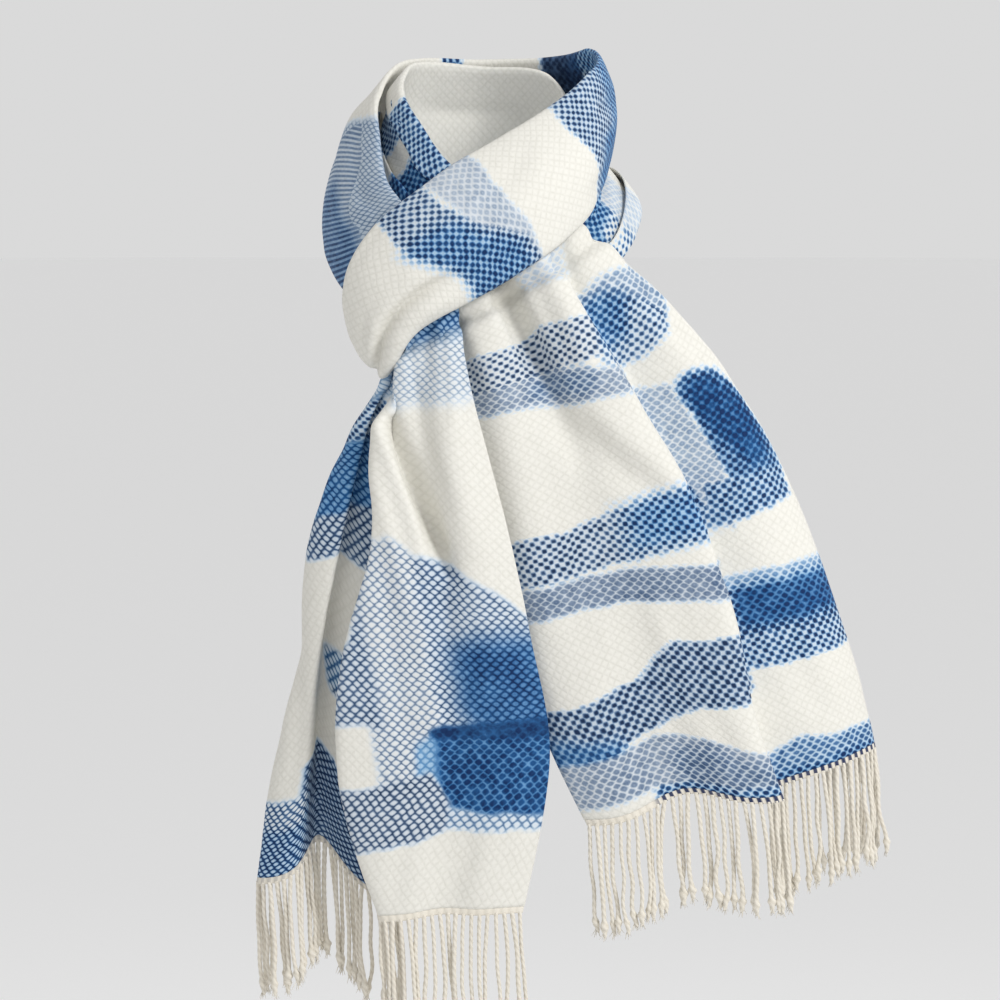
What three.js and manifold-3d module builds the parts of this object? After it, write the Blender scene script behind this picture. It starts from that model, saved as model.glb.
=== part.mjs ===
// A hand-woven scarf with a fringe at each end, in the shape it keeps when it is worn in a slip knot:
// folded in half, laid round the neck, and both ends pulled through the loop of the fold.
//
// Millimetres, +Z up, the front towards -Y and the viewer's right towards +X. The origin is on the
// axis of the neck, at the height where the band crosses it. The cloth is one long strip. Walked
// from the left end it climbs the left side, crosses the nape, comes over the right side, crosses
// the front as the wide band, turns back under it, and goes round once more nearer to the neck.
// It is cut into one wall for each stretch that shows.
import * as THREE from 'three';
import Module from 'manifold-3d';

const WALL = 1.6; // thickness of the woven wall
const SEAM_GAP = 0.5; // clear space between two stretches of the strip
const COLUMNS = 12; // folds, or points of the section, across the strip

const FRINGE_STRIP = 3; // height of the strip that the fringe hangs from
const FRINGE_LENGTH = 85;
const FRINGE_PITCH = 5.6; // distance between two cords along the hem
const CORD_RADIUS = 1.1;

// The hanging ends. Each has six stations between the knot and the hem. At a station the weft runs
// on the line from the left edge to the right edge, both given as x and z, and the last number is
// the share of each fold's sag that has grown in by there. A fold is a line down the cloth: its
// place across (x) and its depth (y) at the six stations, and how far it sags at the hem.
const RIGHT_END = {
  stations: [
    // name, left x, left z, right x, right z, sag share
    ['knot', -16, -70, 78, -26, 0],
    ['chest', 2, -157, 168, -120, 0.1],
    ['ribs', 22, -238, 216, -204, 0.25],
    ['waist', 39, -311, 245, -281, 0.5],
    ['hip', 54, -370, 262, -333, 0.75],
    ['hem', 75, -426, 275, -384, 1],
  ],
  folds: [
    // name, x at knot, chest, ribs, waist, hip, hem; y at the same stations; sag
    ['flap_end', [62, 147, 184, 210, 225, 236], [-62, -66, -68, -66, -60, -54], -4],
    ['flap_bend', [74, 163, 210, 240, 257, 269], [-60, -68, -70, -66, -60, -52], -1],
    ['outline', [82, 175, 223, 252, 270, 283], [-64, -78, -81, -78, -72, -64], 0],
    ['side_front', [76, 162, 209, 239, 257, 270], [-72, -92, -99, -97, -91, -83], -1],
    ['side_mid', [62, 142, 182, 211, 228, 241], [-80, -97, -112, -113, -109, -101], -4],
    ['step_back', [42, 98, 136, 162, 174, 190], [-82, -91, -108, -114, -114, -108], -6],
    ['step_front', [48, 115, 163, 190, 199, 220], [-91, -119, -138, -144, -146, -144], -11],
    ['ridge_2', [34, 80, 117, 144, 155, 177], [-95, -121, -139, -144, -146, -146], -7],
    ['valley', [14, 48, 77, 100, 114, 140], [-83, -102, -126, -134, -132, -126], 14],
    ['ridge_1', [0, 22, 45, 69, 84, 106], [-98, -117, -133, -141, -143, -143], -3],
    ['left_near', [-11, 4, 22, 41, 59, 79], [-92, -108, -126, -134, -136, -136], -1],
    ['left_edge', [-21, -8, 7, 25, 46, 72], [-86, -103, -121, -129, -131, -131], 0],
  ],
};
const LEFT_END = {
  stations: [
    // name, left x, left z, right x, right z, sag share
    ['knot', -58, -84, -18, -72, 0],
    ['loop', -66, -122, -12, -106, 0],
    ['chest', -92, -167, -4, -147, 0.1],
    ['ribs', -117, -240, 16, -221, 0.25],
    ['waist', -125, -320, 32, -299, 0.5],
    ['hip', -147, -408, 46, -382, 0.75],
    ['hem', -155, -473, 30, -486, 1],
  ],
  folds: [
    // name, x at knot, loop, chest, ribs, waist, hip, hem; y at the same stations; sag
    ['selvedge', [-17, -11, -2, 18, 35, 48, 31], [-95, -106, -117, -133, -141, -143, -139], 0],
    ['edge_near', [-23, -18, -12, 6, 20, 29, 15], [-99, -110, -121, -137, -145, -147, -143], -1],
    ['ridge_right', [-29, -26, -23, -11, 2, 6, -5], [-101, -113, -125, -141, -149, -149, -145], -4],
    ['valley', [-35, -38, -40, -30, -20, -19, -26], [-95, -101, -108, -128, -140, -141, -136], -4],
    ['ridge_left', [-44, -50, -57, -52, -46, -46, -49], [-98, -107, -119, -135, -145, -147, -147], -10],
    ['panel_fold', [-54, -63, -78, -86, -114, -114, -82], [-94, -103, -116, -134, -140, -140, -140], -15],
    ['panel_under', [-46, -50, -55, -52, -68, -66, -43], [-86, -93, -101, -116, -121, -121, -121], -10],
    ['recess', [-52, -60, -75, -82, -96, -98, -88], [-82, -86, -91, -102, -106, -106, -106], -2],
    ['recess_back', [-56, -62, -84, -98, -112, -118, -116], [-80, -82, -86, -92, -94, -94, -94], 48],
    ['side_fold', [-56, -62, -74, -90, -106, -114, -122], [-86, -93, -103, -118, -123, -125, -125], 6],
    ['side_edge', [-62, -67, -100, -128, -134, -157, -166], [-80, -85, -91, -94, -98, -100, -102], -2],
    ['side_under', [-54, -60, -82, -110, -116, -134, -140], [-74, -76, -77, -79, -82, -84, -86], 0],
  ],
};

// The wound stretch, in walking order. A row gives the upper and the lower edge of the strip as it
// shows, how far its middle crowns out, the radius of the rolled edges, how far the cloth tucks in
// behind the upper and the lower edge, and the sign of the shallow pleats. A negative crown belongs
// to the inner strand, whose face looks at the neck.
const WRAP = [
  // name, upper edge, lower edge, crown, edge radius, upper tuck, lower tuck, pleat
  ['under_band', [-39, -86, -29], [-82, -78, -72], 4, 2.6, 14, 12, 0],
  ['left_low', [-55, -80, -5], [-99, -44, -61], 8, 2.4, 20, 20, 0],
  ['left_mid', [-68, -66, 14], [-111, -4, -38], 10, 2.4, 24, 24, 0],
  ['left_high', [-73, -42, 44], [-112, 36, -6], 10, 2.4, 26, 26, 0],
  ['left_top', [-74, -5, 72], [-99, 62, 20], 9, 2.4, 18, 26, 1],
  ['back_left', [-56, 63, 97], [-74, 87, 8], 10, 2.4, 26, 26, 1],
  ['back', [0, 86, 98], [0, 120, -4], 10, 2.4, 26, 26, 1],
  ['back_right', [58, 68, 100], [72, 84, 2], 9, 2.4, 26, 26, 1],
  ['right_back', [80, 36, 105], [92, 50, 38], 7, 2.4, 26, 26, 1],
  ['right_side', [86, 0, 96], [92, 4, 22], 7, 2.4, 26, 26, 0],
  ['right_front', [77, -34, 84], [84, -44, 3], 8, 2.6, 26, 26, 0],
  ['front_1', [61, -56, 70], [75, -72, -13], 11, 2.8, 26, 24, 0],
  ['front_2', [35, -70, 53], [57, -92, -29], 13, 3, 26, 22, 0],
  ['front_3', [7, -80, 37], [35, -104, -43], 14, 3, 24, 20, 0],
  ['front_4', [-19, -90, 22], [14, -110, -56], 14, 3, 22, 18, 0],
  ['front_5', [-44, -97, 4], [-7, -112, -68], 13, 3, 20, 16, 0],
  ['front_6', [-69, -100, -16], [-27, -112, -79], 12, 3, 18, 14, 0],
  ['front_7', [-88, -100, -43], [-44, -110, -90], 9, 3, 14, 12, 0],
  ['front_8', [-94, -94, -72], [-58, -105, -104], 6, 2.6, 10, 8, 0],
  ['turn', [-88, -84, -98], [-69, -90, -123], 2, 2.2, 5, 5, 0],
  ['turn_back', [-75, -70, -86], [-67, -72, -114], 0, 1.8, 2, 2, 0],
  ['under_1', [-42, -62, -66], [-35, -62, -100], -2, 1.8, 4, 4, 0],
  ['under_2', [0, -60, -45], [7, -58, -84], -3, 1.8, 8, 8, 0],
  ['under_3', [43, -54, -24], [56, -57, -64], -4, 1.8, 12, 12, 0],
  ['shoulder_1', [70, -38, -2], [96, -46, -46], -3, 1.8, 14, 14, 0],
  ['shoulder_2', [70, -8, 18], [113, -8, -14], -3, 1.8, 16, 16, 0],
  ['shoulder_3', [67, 20, 46], [100, 42, 4], -3, 1.8, 16, 16, 0],
  ['inner_right', [48, 49, 86], [62, 68, 0], -6, 1.8, 16, 16, -1],
  ['inner_back', [0, 68, 92], [0, 100, 0], -8, 1.8, 16, 16, -1],
  ['inner_left', [-42, 47, 95], [-59, 64, 6], -6, 1.8, 16, 16, -1],
  ['inner_top', [-52, 12, 86], [-69, 32, 46], -5, 2, 16, 12, -1],
  ['inner_1', [-53, -18, 70], [-72, 0, 28], -4, 1.8, 16, 16, -1],
  ['inner_2', [-39, -44, 47], [-67, -30, 5], -4, 1.8, 16, 16, -1],
  ['inner_3', [-22, -62, 23], [-55, -60, -17], -4, 1.8, 16, 16, -1],
  ['inner_4', [7, -73, 0], [-35, -74, -42], -3, 0.6, -10, -6, 0],
];
const PLEAT_DEPTH = 3;
const END_ACROSS = 33; // points across a hanging end

// The stretches: rows where each begins and ends, sections along and points across, and its colour.
const STRETCHES = [
  // name, from, to, sections, points across, colour
  ['tail_left', 'left hem', 'under_band', 22, END_ACROSS, '#dfe3e6'],
  ['left_outer', 'under_band', 'left_top', 11, 17, '#8fb0d0'],
  ['back_outer', 'left_top', 'right_back', 9, 17, '#e6e8e6'],
  ['front_band', 'right_back', 'turn_back', 20, 17, '#9db9d8'],
  ['loop_under', 'turn_back', 'shoulder_3', 12, 17, '#e2e6ea'],
  ['back_inner', 'shoulder_3', 'inner_top', 9, 17, '#dfe2e2'],
  ['left_inner', 'inner_top', 'inner_4', 10, 17, '#c3cfdd'],
  ['tail_right', 'inner_4', 'right hem', 21, END_ACROSS, '#d5dfe9'],
];

const vector = (point) => new THREE.Vector3(...point);
const mix = (from, to, share) => from + (to - from) * share;

// The rows of a hanging end: at each station, one point for each fold.
function endRows({ stations, folds }) {
  return stations.map(([, leftX, leftZ, rightX, rightZ, sagShare], station) =>
    folds.map(([, xs, ys, sag]) => {
      const across = (xs[station] - leftX) / (rightX - leftX);
      const level = mix(leftZ, rightZ, THREE.MathUtils.clamp(across, -0.1, 1.1));
      return new THREE.Vector3(xs[station], ys[station], level + sag * sagShare);
    }),
  );
}

// The rows of the wound stretch. A section runs from the upper tuck round the upper edge, over the
// crowned middle and round the lower edge into the lower tuck. Its normal is square to the walk.
function wrapRows(table) {
  const middles = table.map(([, upper, lower]) => vector(upper).lerp(vector(lower), 0.5));
  return table.map(([, upperPoint, lowerPoint, crown, radius, upperTuck, lowerTuck, pleat], i) => {
    const upper = vector(upperPoint);
    const lower = vector(lowerPoint);
    const before = middles[Math.max(i - 1, 0)];
    const after = middles[Math.min(i + 1, middles.length - 1)];
    const down = lower.clone().sub(upper).normalize();
    const out = after.clone().sub(before).cross(down).normalize();
    const at = (from, along, height) =>
      from.clone().addScaledVector(down, along).addScaledVector(out, height);
    const width = upper.distanceTo(lower);
    const behind = 2 * radius;
    const crowned = (share, offset) =>
      at(upper, share * width, 1.15 * crown * Math.sin(Math.PI * share) + offset);
    return [
      crowned(upperTuck / width, -behind),
      crowned((0.45 * upperTuck) / width, -1.05 * behind),
      at(upper, -0.6 * radius, -0.9 * behind),
      at(upper, -0.6 * radius, 0.5),
      crowned(0.2, 0),
      crowned(0.4, PLEAT_DEPTH * pleat),
      crowned(0.6, -PLEAT_DEPTH * pleat),
      crowned(0.8, 0),
      at(lower, 0.6 * radius, 0.5),
      at(lower, 0.6 * radius, -0.9 * behind),
      crowned(1 - (0.45 * lowerTuck) / width, -1.05 * behind),
      crowned(1 - lowerTuck / width, -behind),
    ];
  });
}

// The whole strip: its rows from the left hem to the right hem, and the index of each row's name.
const stationNames = (end, side) => end.stations.map(([name]) => `${side} ${name}`);
const rows = [...endRows(LEFT_END).reverse(), ...wrapRows(WRAP), ...endRows(RIGHT_END)];
const rowNames = [
  ...stationNames(LEFT_END, 'left').reverse(),
  ...WRAP.map(([name]) => name),
  ...stationNames(RIGHT_END, 'right'),
];
const LEFT_HEM = rowNames.indexOf('left hem');
const RIGHT_HEM = rowNames.indexOf('right hem');

// A point of one row, `across` from 0 at the upper edge to 1 at the lower: a uniform cubic B-spline
// over the row's points, with its ends carried one step on so that it starts and ends on them.
function rowPoint(row, across) {
  const last = COLUMNS - 1;
  const place = Math.min(across, 1 - 1e-9) * last;
  const k = Math.floor(place);
  const f = place - k;
  const weights = [
    (1 - f) ** 3 / 6,
    (3 * f ** 3 - 6 * f ** 2 + 4) / 6,
    (-3 * f ** 3 + 3 * f ** 2 + 3 * f + 1) / 6,
    f ** 3 / 6,
  ];
  const point = new THREE.Vector3();
  weights.forEach((weight, i) => {
    const index = k - 1 + i;
    if (index < 0) {
      point.addScaledVector(row[0], 2 * weight).addScaledVector(row[1], -weight);
    } else if (index > last) {
      point.addScaledVector(row[last], 2 * weight).addScaledVector(row[last - 1], -weight);
    } else {
      point.addScaledVector(row[index], weight);
    }
  });
  return point;
}

// A point of the strip: `along` counts rows from the left hem, and between them a Catmull-Rom curve
// passes through the row points.
function clothPoint(along, across) {
  const k = THREE.MathUtils.clamp(Math.floor(along), 0, rows.length - 2);
  const f = along - k;
  const near = (i) => rowPoint(rows[THREE.MathUtils.clamp(i, 0, rows.length - 1)], across);
  const weights = [
    (-(f ** 3) + 2 * f ** 2 - f) / 2,
    (3 * f ** 3 - 5 * f ** 2 + 2) / 2,
    (-3 * f ** 3 + 4 * f ** 2 + f) / 2,
    (f ** 3 - f ** 2) / 2,
  ];
  const point = new THREE.Vector3();
  weights.forEach((weight, i) => point.addScaledVector(near(k - 1 + i), weight));
  return point;
}

// The slopes of the strip along and across, and its normal.
function clothSlopes(along, across) {
  const step = 1e-3;
  const slope = (from, to) => to.sub(from).divideScalar(2 * step);
  const warp = slope(clothPoint(along - step, across), clothPoint(along + step, across));
  const low = Math.max(across - step, 0);
  const high = Math.min(across + step, 1);
  const weft = slope(clothPoint(along, low), clothPoint(along, high));
  return { warp, weft, normal: warp.clone().cross(weft).normalize() };
}

// A closed wall round a grid of middle points and normals: both faces and the rim.
function wallGeometry(points, normals, thickness) {
  const sections = points.length;
  const across = points[0].length;
  const count = sections * across;
  const positions = [];
  for (const side of [0.5, -0.5]) {
    points.flat().forEach((point, i) => {
      const normal = normals.flat()[i];
      positions.push(...point.clone().addScaledVector(normal, side * thickness));
    });
  }
  const at = (j, i) => j * across + i;
  const faces = [];
  for (let j = 0; j < sections - 1; j += 1) {
    for (let i = 0; i < across - 1; i += 1) {
      const [a, b, c, d] = [at(j, i), at(j, i + 1), at(j + 1, i + 1), at(j + 1, i)];
      faces.push(a, b, c, a, c, d);
      faces.push(a + count, c + count, b + count, a + count, d + count, c + count);
    }
  }
  const rim = [];
  for (let i = 0; i < across; i += 1) rim.push(at(0, i));
  for (let j = 1; j < sections; j += 1) rim.push(at(j, across - 1));
  for (let i = across - 2; i >= 0; i -= 1) rim.push(at(sections - 1, i));
  for (let j = sections - 2; j > 0; j -= 1) rim.push(at(j, 0));
  rim.forEach((a, i) => {
    const b = rim[(i + 1) % rim.length];
    faces.push(a, a + count, b + count, a, b + count, b);
  });
  // The warp runs one way and the weft the other, so the faces are turned to point out.
  for (let i = 0; i < faces.length; i += 3) [faces[i + 1], faces[i + 2]] = [faces[i + 2], faces[i + 1]];
  return new THREE.BufferGeometry()
    .setAttribute('position', new THREE.Float32BufferAttribute(positions, 3))
    .setIndex(faces);
}

// One stretch of the strip, drawn back by half a seam gap at each end where the strip goes on.
function stretchGeometry(from, to, sections, across) {
  const points = [];
  const normals = [];
  const first = rowNames.indexOf(from);
  const last = rowNames.indexOf(to);
  for (let j = 0; j < sections; j += 1) {
    const share = j / (sections - 1);
    const pointRow = [];
    const normalRow = [];
    for (let i = 0; i < across; i += 1) {
      const u = i / (across - 1);
      const drawn = (row) =>
        row === LEFT_HEM || row === RIGHT_HEM ? 0 : SEAM_GAP / 2 / clothSlopes(row, u).warp.length();
      const along = mix(first + drawn(first), last - drawn(last), share);
      pointRow.push(clothPoint(along, u));
      normalRow.push(clothSlopes(along, u).normal);
    }
    points.push(pointRow);
    normals.push(normalRow);
  }
  return wallGeometry(points, normals, WALL);
}

const { Manifold, Mesh: SolidMesh, setup } = await Module().then((wasm) => {
  wasm.setup();
  return wasm;
});

// A closed geometry as a solid that can be joined, and a joined solid as a geometry.
const solidOf = (geometry) =>
  new Manifold(
    new SolidMesh({
      numProp: 3,
      vertProperties: geometry.attributes.position.array,
      triVerts: new Uint32Array(geometry.index.array),
    }),
  );
function geometryOf(solid) {
  const { vertProperties, triVerts } = solid.getMesh();
  return new THREE.BufferGeometry()
    .setAttribute('position', new THREE.BufferAttribute(vertProperties, 3))
    .setIndex(new THREE.BufferAttribute(triVerts, 1));
}

// A three-sided cord through the given points.
function cordGeometry(points, radius) {
  const sides = 3;
  const positions = [];
  points.forEach((point) => {
    for (let side = 0; side < sides; side += 1) {
      const angle = (2 * Math.PI * side) / sides;
      positions.push(point.x + radius * Math.cos(angle), point.y + radius * Math.sin(angle), point.z);
    }
  });
  const faces = [];
  for (let j = 0; j < points.length - 1; j += 1) {
    for (let side = 0; side < sides; side += 1) {
      const a = j * sides + side;
      const b = j * sides + ((side + 1) % sides);
      faces.push(a, a + sides, b, b, a + sides, b + sides);
    }
  }
  const end = (points.length - 1) * sides;
  faces.push(0, 1, 2, end, end + 2, end + 1);
  return new THREE.BufferGeometry()
    .setAttribute('position', new THREE.Float32BufferAttribute(positions, 3))
    .setIndex(faces);
}

// The fringe of one hem: a strip just below the hem, and cords at an even pitch along it. A cord
// leaves the strip in line with the cloth and soon hangs straight down, each a little aside.
function fringeGeometry(hemRow) {
  const onward = hemRow === RIGHT_HEM ? 1 : -1;
  const below = (u, distance) => {
    const { weft, normal } = clothSlopes(hemRow, u);
    const outward = weft.cross(normal).normalize();
    return clothPoint(hemRow, u).addScaledVector(outward, onward * distance);
  };
  const edges = onward > 0
    ? [SEAM_GAP, SEAM_GAP + FRINGE_STRIP]
    : [SEAM_GAP + FRINGE_STRIP, SEAM_GAP];
  const shares = Array.from({ length: END_ACROSS }, (_, i) => i / (END_ACROSS - 1));
  const points = edges.map((distance) => shares.map((u) => below(u, distance)));
  const normals = edges.map(() => shares.map((u) => clothSlopes(hemRow, u).normal));
  const strip = solidOf(wallGeometry(points, normals, WALL));

  const fine = 400;
  const reach = [0];
  for (let i = 1; i <= fine; i += 1) {
    const step = clothPoint(hemRow, i / fine).distanceTo(clothPoint(hemRow, (i - 1) / fine));
    reach.push(reach[i - 1] + step);
  }
  const count = Math.floor(reach[fine] / FRINGE_PITCH);
  const margin = (reach[fine] - (count - 1) * FRINGE_PITCH) / 2;
  const cords = [];
  for (let n = 0; n < count; n += 1) {
    const target = margin + n * FRINGE_PITCH;
    const u = reach.findIndex((length) => length >= target) / fine;
    const root = below(u, SEAM_GAP + FRINGE_STRIP - 0.8);
    const aside = vector([1.2 * Math.sin(2.4 * n), 0.6 * Math.cos(1.7 * n), -FRINGE_LENGTH]);
    cords.push(solidOf(cordGeometry([root, root.clone().add(aside)], CORD_RADIUS)));
  }
  return geometryOf(Manifold.union([strip, ...cords]));
}

const scarf = new THREE.Group();
scarf.name = 'scarf';

function addPiece(name, geometry, colour) {
  const material = new THREE.MeshStandardMaterial({ color: colour, roughness: 0.85, metalness: 0 });
  const mesh = new THREE.Mesh(geometry, material);
  mesh.name = name;
  scarf.add(mesh);
}

for (const [name, from, to, sections, across, colour] of STRETCHES) {
  addPiece(name, stretchGeometry(from, to, sections, across), colour);
}
addPiece('fringe_left', fringeGeometry(LEFT_HEM), '#e9e3d2');
addPiece('fringe_right', fringeGeometry(RIGHT_HEM), '#e9e3d2');

export default scarf;
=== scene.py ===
"""A hand-woven cotton scarf, dip-dyed with indigo and worn round the neck with both ends through the loop.

The cloth is one strip of bird's-eye weave. It is drawn here as four stretches: the left end, the
outer turn round the neck, the inner turn and the right end, and each end has a fringe of twisted
cords. Lengths are in metres unless a table says millimetres.
"""
import math

import bpy
import numpy as np
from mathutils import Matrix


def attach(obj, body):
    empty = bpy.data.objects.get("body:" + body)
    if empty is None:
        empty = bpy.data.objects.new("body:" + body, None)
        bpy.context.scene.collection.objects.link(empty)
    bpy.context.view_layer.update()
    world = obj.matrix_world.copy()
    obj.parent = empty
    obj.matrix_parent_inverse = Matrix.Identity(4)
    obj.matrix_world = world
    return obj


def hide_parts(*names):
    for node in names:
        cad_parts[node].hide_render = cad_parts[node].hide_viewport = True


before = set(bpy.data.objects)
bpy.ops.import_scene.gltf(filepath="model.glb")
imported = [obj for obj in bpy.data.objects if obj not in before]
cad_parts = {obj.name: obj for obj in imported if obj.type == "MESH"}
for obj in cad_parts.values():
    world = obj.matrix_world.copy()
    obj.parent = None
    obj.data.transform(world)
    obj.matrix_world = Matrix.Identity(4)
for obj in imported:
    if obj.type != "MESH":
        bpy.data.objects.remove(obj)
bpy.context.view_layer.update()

# The camera looks straight at the knot from a little above, from far enough back for a long lens.
CAMERA_TARGET = (0.014, -0.110, -0.207)
CAMERA_DISTANCE = 2.4
CAMERA_RISE = math.radians(6)
VIEW_WIDTH = 0.69
camera = bpy.data.objects.new("camera", bpy.data.cameras.new("camera"))
bpy.context.scene.collection.objects.link(camera)
camera.location = (
    CAMERA_TARGET[0],
    CAMERA_TARGET[1] - CAMERA_DISTANCE * math.cos(CAMERA_RISE),
    CAMERA_TARGET[2] + CAMERA_DISTANCE * math.sin(CAMERA_RISE),
)
camera.rotation_euler = (math.pi / 2 - CAMERA_RISE, 0, 0)
camera.data.lens = camera.data.sensor_width * CAMERA_DISTANCE / VIEW_WIDTH
bpy.context.scene.camera = camera

# The strip of cloth: one hand-woven length of cotton, folded in half round the neck with both ends
# pulled through the loop of the fold. Its worn shape is laid out row by row from the left hem to the
# right hem, in millimetres, and every stretch below is cut from this one surface.
MM = 0.001
FOLDS_ACROSS = 12
PAST_THE_EDGE = 0.1
RIGHT_STATIONS = [
    # name, left x, left z, right x, right z, share of the sag
    ("right knot", -16, -70, 78, -26, 0),
    ("right chest", 2, -157, 168, -120, 0.1),
    ("right ribs", 22, -238, 216, -204, 0.25),
    ("right waist", 39, -311, 245, -281, 0.5),
    ("right hip", 54, -370, 262, -333, 0.75),
    ("right hem", 75, -426, 275, -384, 1),
]
RIGHT_FOLDS = [
    # name, x at knot, chest, ribs, waist, hip, hem; y at the same stations; sag
    ("flap_end", (62, 147, 184, 210, 225, 236), (-62, -66, -68, -66, -60, -54), -4),
    ("flap_bend", (74, 163, 210, 240, 257, 269), (-60, -68, -70, -66, -60, -52), -1),
    ("outline", (82, 175, 223, 252, 270, 283), (-64, -78, -81, -78, -72, -64), 0),
    ("side_front", (76, 162, 209, 239, 257, 270), (-72, -92, -99, -97, -91, -83), -1),
    ("side_mid", (62, 142, 182, 211, 228, 241), (-80, -97, -112, -113, -109, -101), -4),
    ("step_back", (42, 98, 136, 162, 174, 190), (-82, -91, -108, -114, -114, -108), -6),
    ("step_front", (48, 115, 163, 190, 199, 220), (-91, -119, -138, -144, -146, -144), -11),
    ("ridge_2", (34, 80, 117, 144, 155, 177), (-95, -121, -139, -144, -146, -146), -7),
    ("valley", (14, 48, 77, 100, 114, 140), (-83, -102, -126, -134, -132, -126), 14),
    ("ridge_1", (0, 22, 45, 69, 84, 106), (-98, -117, -133, -141, -143, -143), -3),
    ("left_near", (-11, 4, 22, 41, 59, 79), (-92, -108, -126, -134, -136, -136), -1),
    ("left_edge", (-21, -8, 7, 25, 46, 72), (-86, -103, -121, -129, -131, -131), 0),
]
LEFT_STATIONS = [
    ("left knot", -58, -84, -18, -72, 0),
    ("left loop", -66, -122, -12, -106, 0),
    ("left chest", -92, -167, -4, -147, 0.1),
    ("left ribs", -117, -240, 16, -221, 0.25),
    ("left waist", -125, -320, 32, -299, 0.5),
    ("left hip", -147, -408, 46, -382, 0.75),
    ("left hem", -155, -473, 30, -486, 1),
]
LEFT_FOLDS = [
    # name, x at knot, loop, chest, ribs, waist, hip, hem; y at the same stations; sag
    ("selvedge", (-17, -11, -2, 18, 35, 48, 31), (-95, -106, -117, -133, -141, -143, -139), 0),
    ("edge_near", (-23, -18, -12, 6, 20, 29, 15), (-99, -110, -121, -137, -145, -147, -143), -1),
    ("ridge_right", (-29, -26, -23, -11, 2, 6, -5), (-101, -113, -125, -141, -149, -149, -145), -4),
    ("valley", (-35, -38, -40, -30, -20, -19, -26), (-95, -101, -108, -128, -140, -141, -136), -4),
    ("ridge_left", (-44, -50, -57, -52, -46, -46, -49), (-98, -107, -119, -135, -145, -147, -147), -10),
    ("panel_fold", (-54, -63, -78, -86, -114, -114, -82), (-94, -103, -116, -134, -140, -140, -140), -15),
    ("panel_under", (-46, -50, -55, -52, -68, -66, -43), (-86, -93, -101, -116, -121, -121, -121), -10),
    ("recess", (-52, -60, -75, -82, -96, -98, -88), (-82, -86, -91, -102, -106, -106, -106), -2),
    ("recess_back", (-56, -62, -84, -98, -112, -118, -116), (-80, -82, -86, -92, -94, -94, -94), 48),
    ("side_fold", (-56, -62, -74, -90, -106, -114, -122), (-86, -93, -103, -118, -123, -125, -125), 6),
    ("side_edge", (-62, -67, -100, -128, -134, -157, -166), (-80, -85, -91, -94, -98, -100, -102), -2),
    ("side_under", (-54, -60, -82, -110, -116, -134, -140), (-74, -76, -77, -79, -82, -84, -86), 0),
]
WOUND = [
    # name, upper edge, lower edge, crown, edge radius, upper tuck, lower tuck, pleat
    ("under_band", (-39, -86, -29), (-82, -78, -72), 4, 2.6, 14, 12, 0),
    ("left_low", (-55, -80, -5), (-99, -44, -61), 8, 2.4, 20, 20, 0),
    ("left_mid", (-68, -66, 14), (-111, -4, -38), 10, 2.4, 24, 24, 0),
    ("left_high", (-73, -42, 44), (-112, 36, -6), 10, 2.4, 26, 26, 0),
    ("left_top", (-74, -5, 72), (-99, 62, 20), 9, 2.4, 18, 26, 1),
    ("back_left", (-56, 63, 97), (-74, 87, 8), 10, 2.4, 26, 26, 1),
    ("back", (0, 86, 98), (0, 120, -4), 10, 2.4, 26, 26, 1),
    ("back_right", (58, 68, 100), (72, 84, 2), 9, 2.4, 26, 26, 1),
    ("right_back", (80, 36, 105), (92, 50, 38), 7, 2.4, 26, 26, 1),
    ("right_side", (86, 0, 96), (92, 4, 22), 7, 2.4, 26, 26, 0),
    ("right_front", (77, -34, 84), (84, -44, 3), 8, 2.6, 26, 26, 0),
    ("front_1", (61, -56, 70), (75, -72, -13), 11, 2.8, 26, 24, 0),
    ("front_2", (35, -70, 53), (57, -92, -29), 13, 3, 26, 22, 0),
    ("front_3", (7, -80, 37), (35, -104, -43), 14, 3, 24, 20, 0),
    ("front_4", (-19, -90, 22), (14, -110, -56), 14, 3, 22, 18, 0),
    ("front_5", (-44, -97, 4), (-7, -112, -68), 13, 3, 20, 16, 0),
    ("front_6", (-69, -100, -16), (-27, -112, -79), 12, 3, 18, 14, 0),
    ("front_7", (-88, -100, -43), (-44, -110, -90), 9, 3, 14, 12, 0),
    ("front_8", (-94, -94, -72), (-58, -105, -104), 6, 2.6, 10, 8, 0),
    ("turn", (-88, -84, -98), (-69, -90, -123), 2, 2.2, 5, 5, 0),
    ("turn_back", (-75, -70, -86), (-67, -72, -114), 0, 1.8, 2, 2, 0),
    ("under_1", (-42, -62, -66), (-35, -62, -100), -2, 1.8, 4, 4, 0),
    ("under_2", (0, -60, -45), (7, -58, -84), -3, 1.8, 8, 8, 0),
    ("under_3", (43, -54, -24), (56, -57, -64), -4, 1.8, 12, 12, 0),
    ("shoulder_1", (70, -38, -2), (96, -46, -46), -3, 1.8, 14, 14, 0),
    ("shoulder_2", (70, -8, 18), (113, -8, -14), -3, 1.8, 16, 16, 0),
    ("shoulder_3", (67, 20, 46), (100, 42, 4), -3, 1.8, 16, 16, 0),
    ("inner_right", (48, 49, 86), (62, 68, 0), -6, 1.8, 16, 16, -1),
    ("inner_back", (0, 68, 92), (0, 100, 0), -8, 1.8, 16, 16, -1),
    ("inner_left", (-42, 47, 95), (-59, 64, 6), -6, 1.8, 16, 16, -1),
    ("inner_top", (-52, 12, 86), (-69, 32, 46), -5, 2, 16, 12, -1),
    ("inner_1", (-53, -18, 70), (-72, 0, 28), -4, 1.8, 16, 16, -1),
    ("inner_2", (-39, -44, 47), (-67, -30, 5), -4, 1.8, 16, 16, -1),
    ("inner_3", (-22, -62, 23), (-55, -60, -17), -4, 1.8, 16, 16, -1),
    ("inner_4", (7, -73, 0), (-35, -74, -42), -3, 0.6, -10, -6, 0),
]
PLEAT_DEPTH = 3
CROWN_LIFT = 1.15
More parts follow.
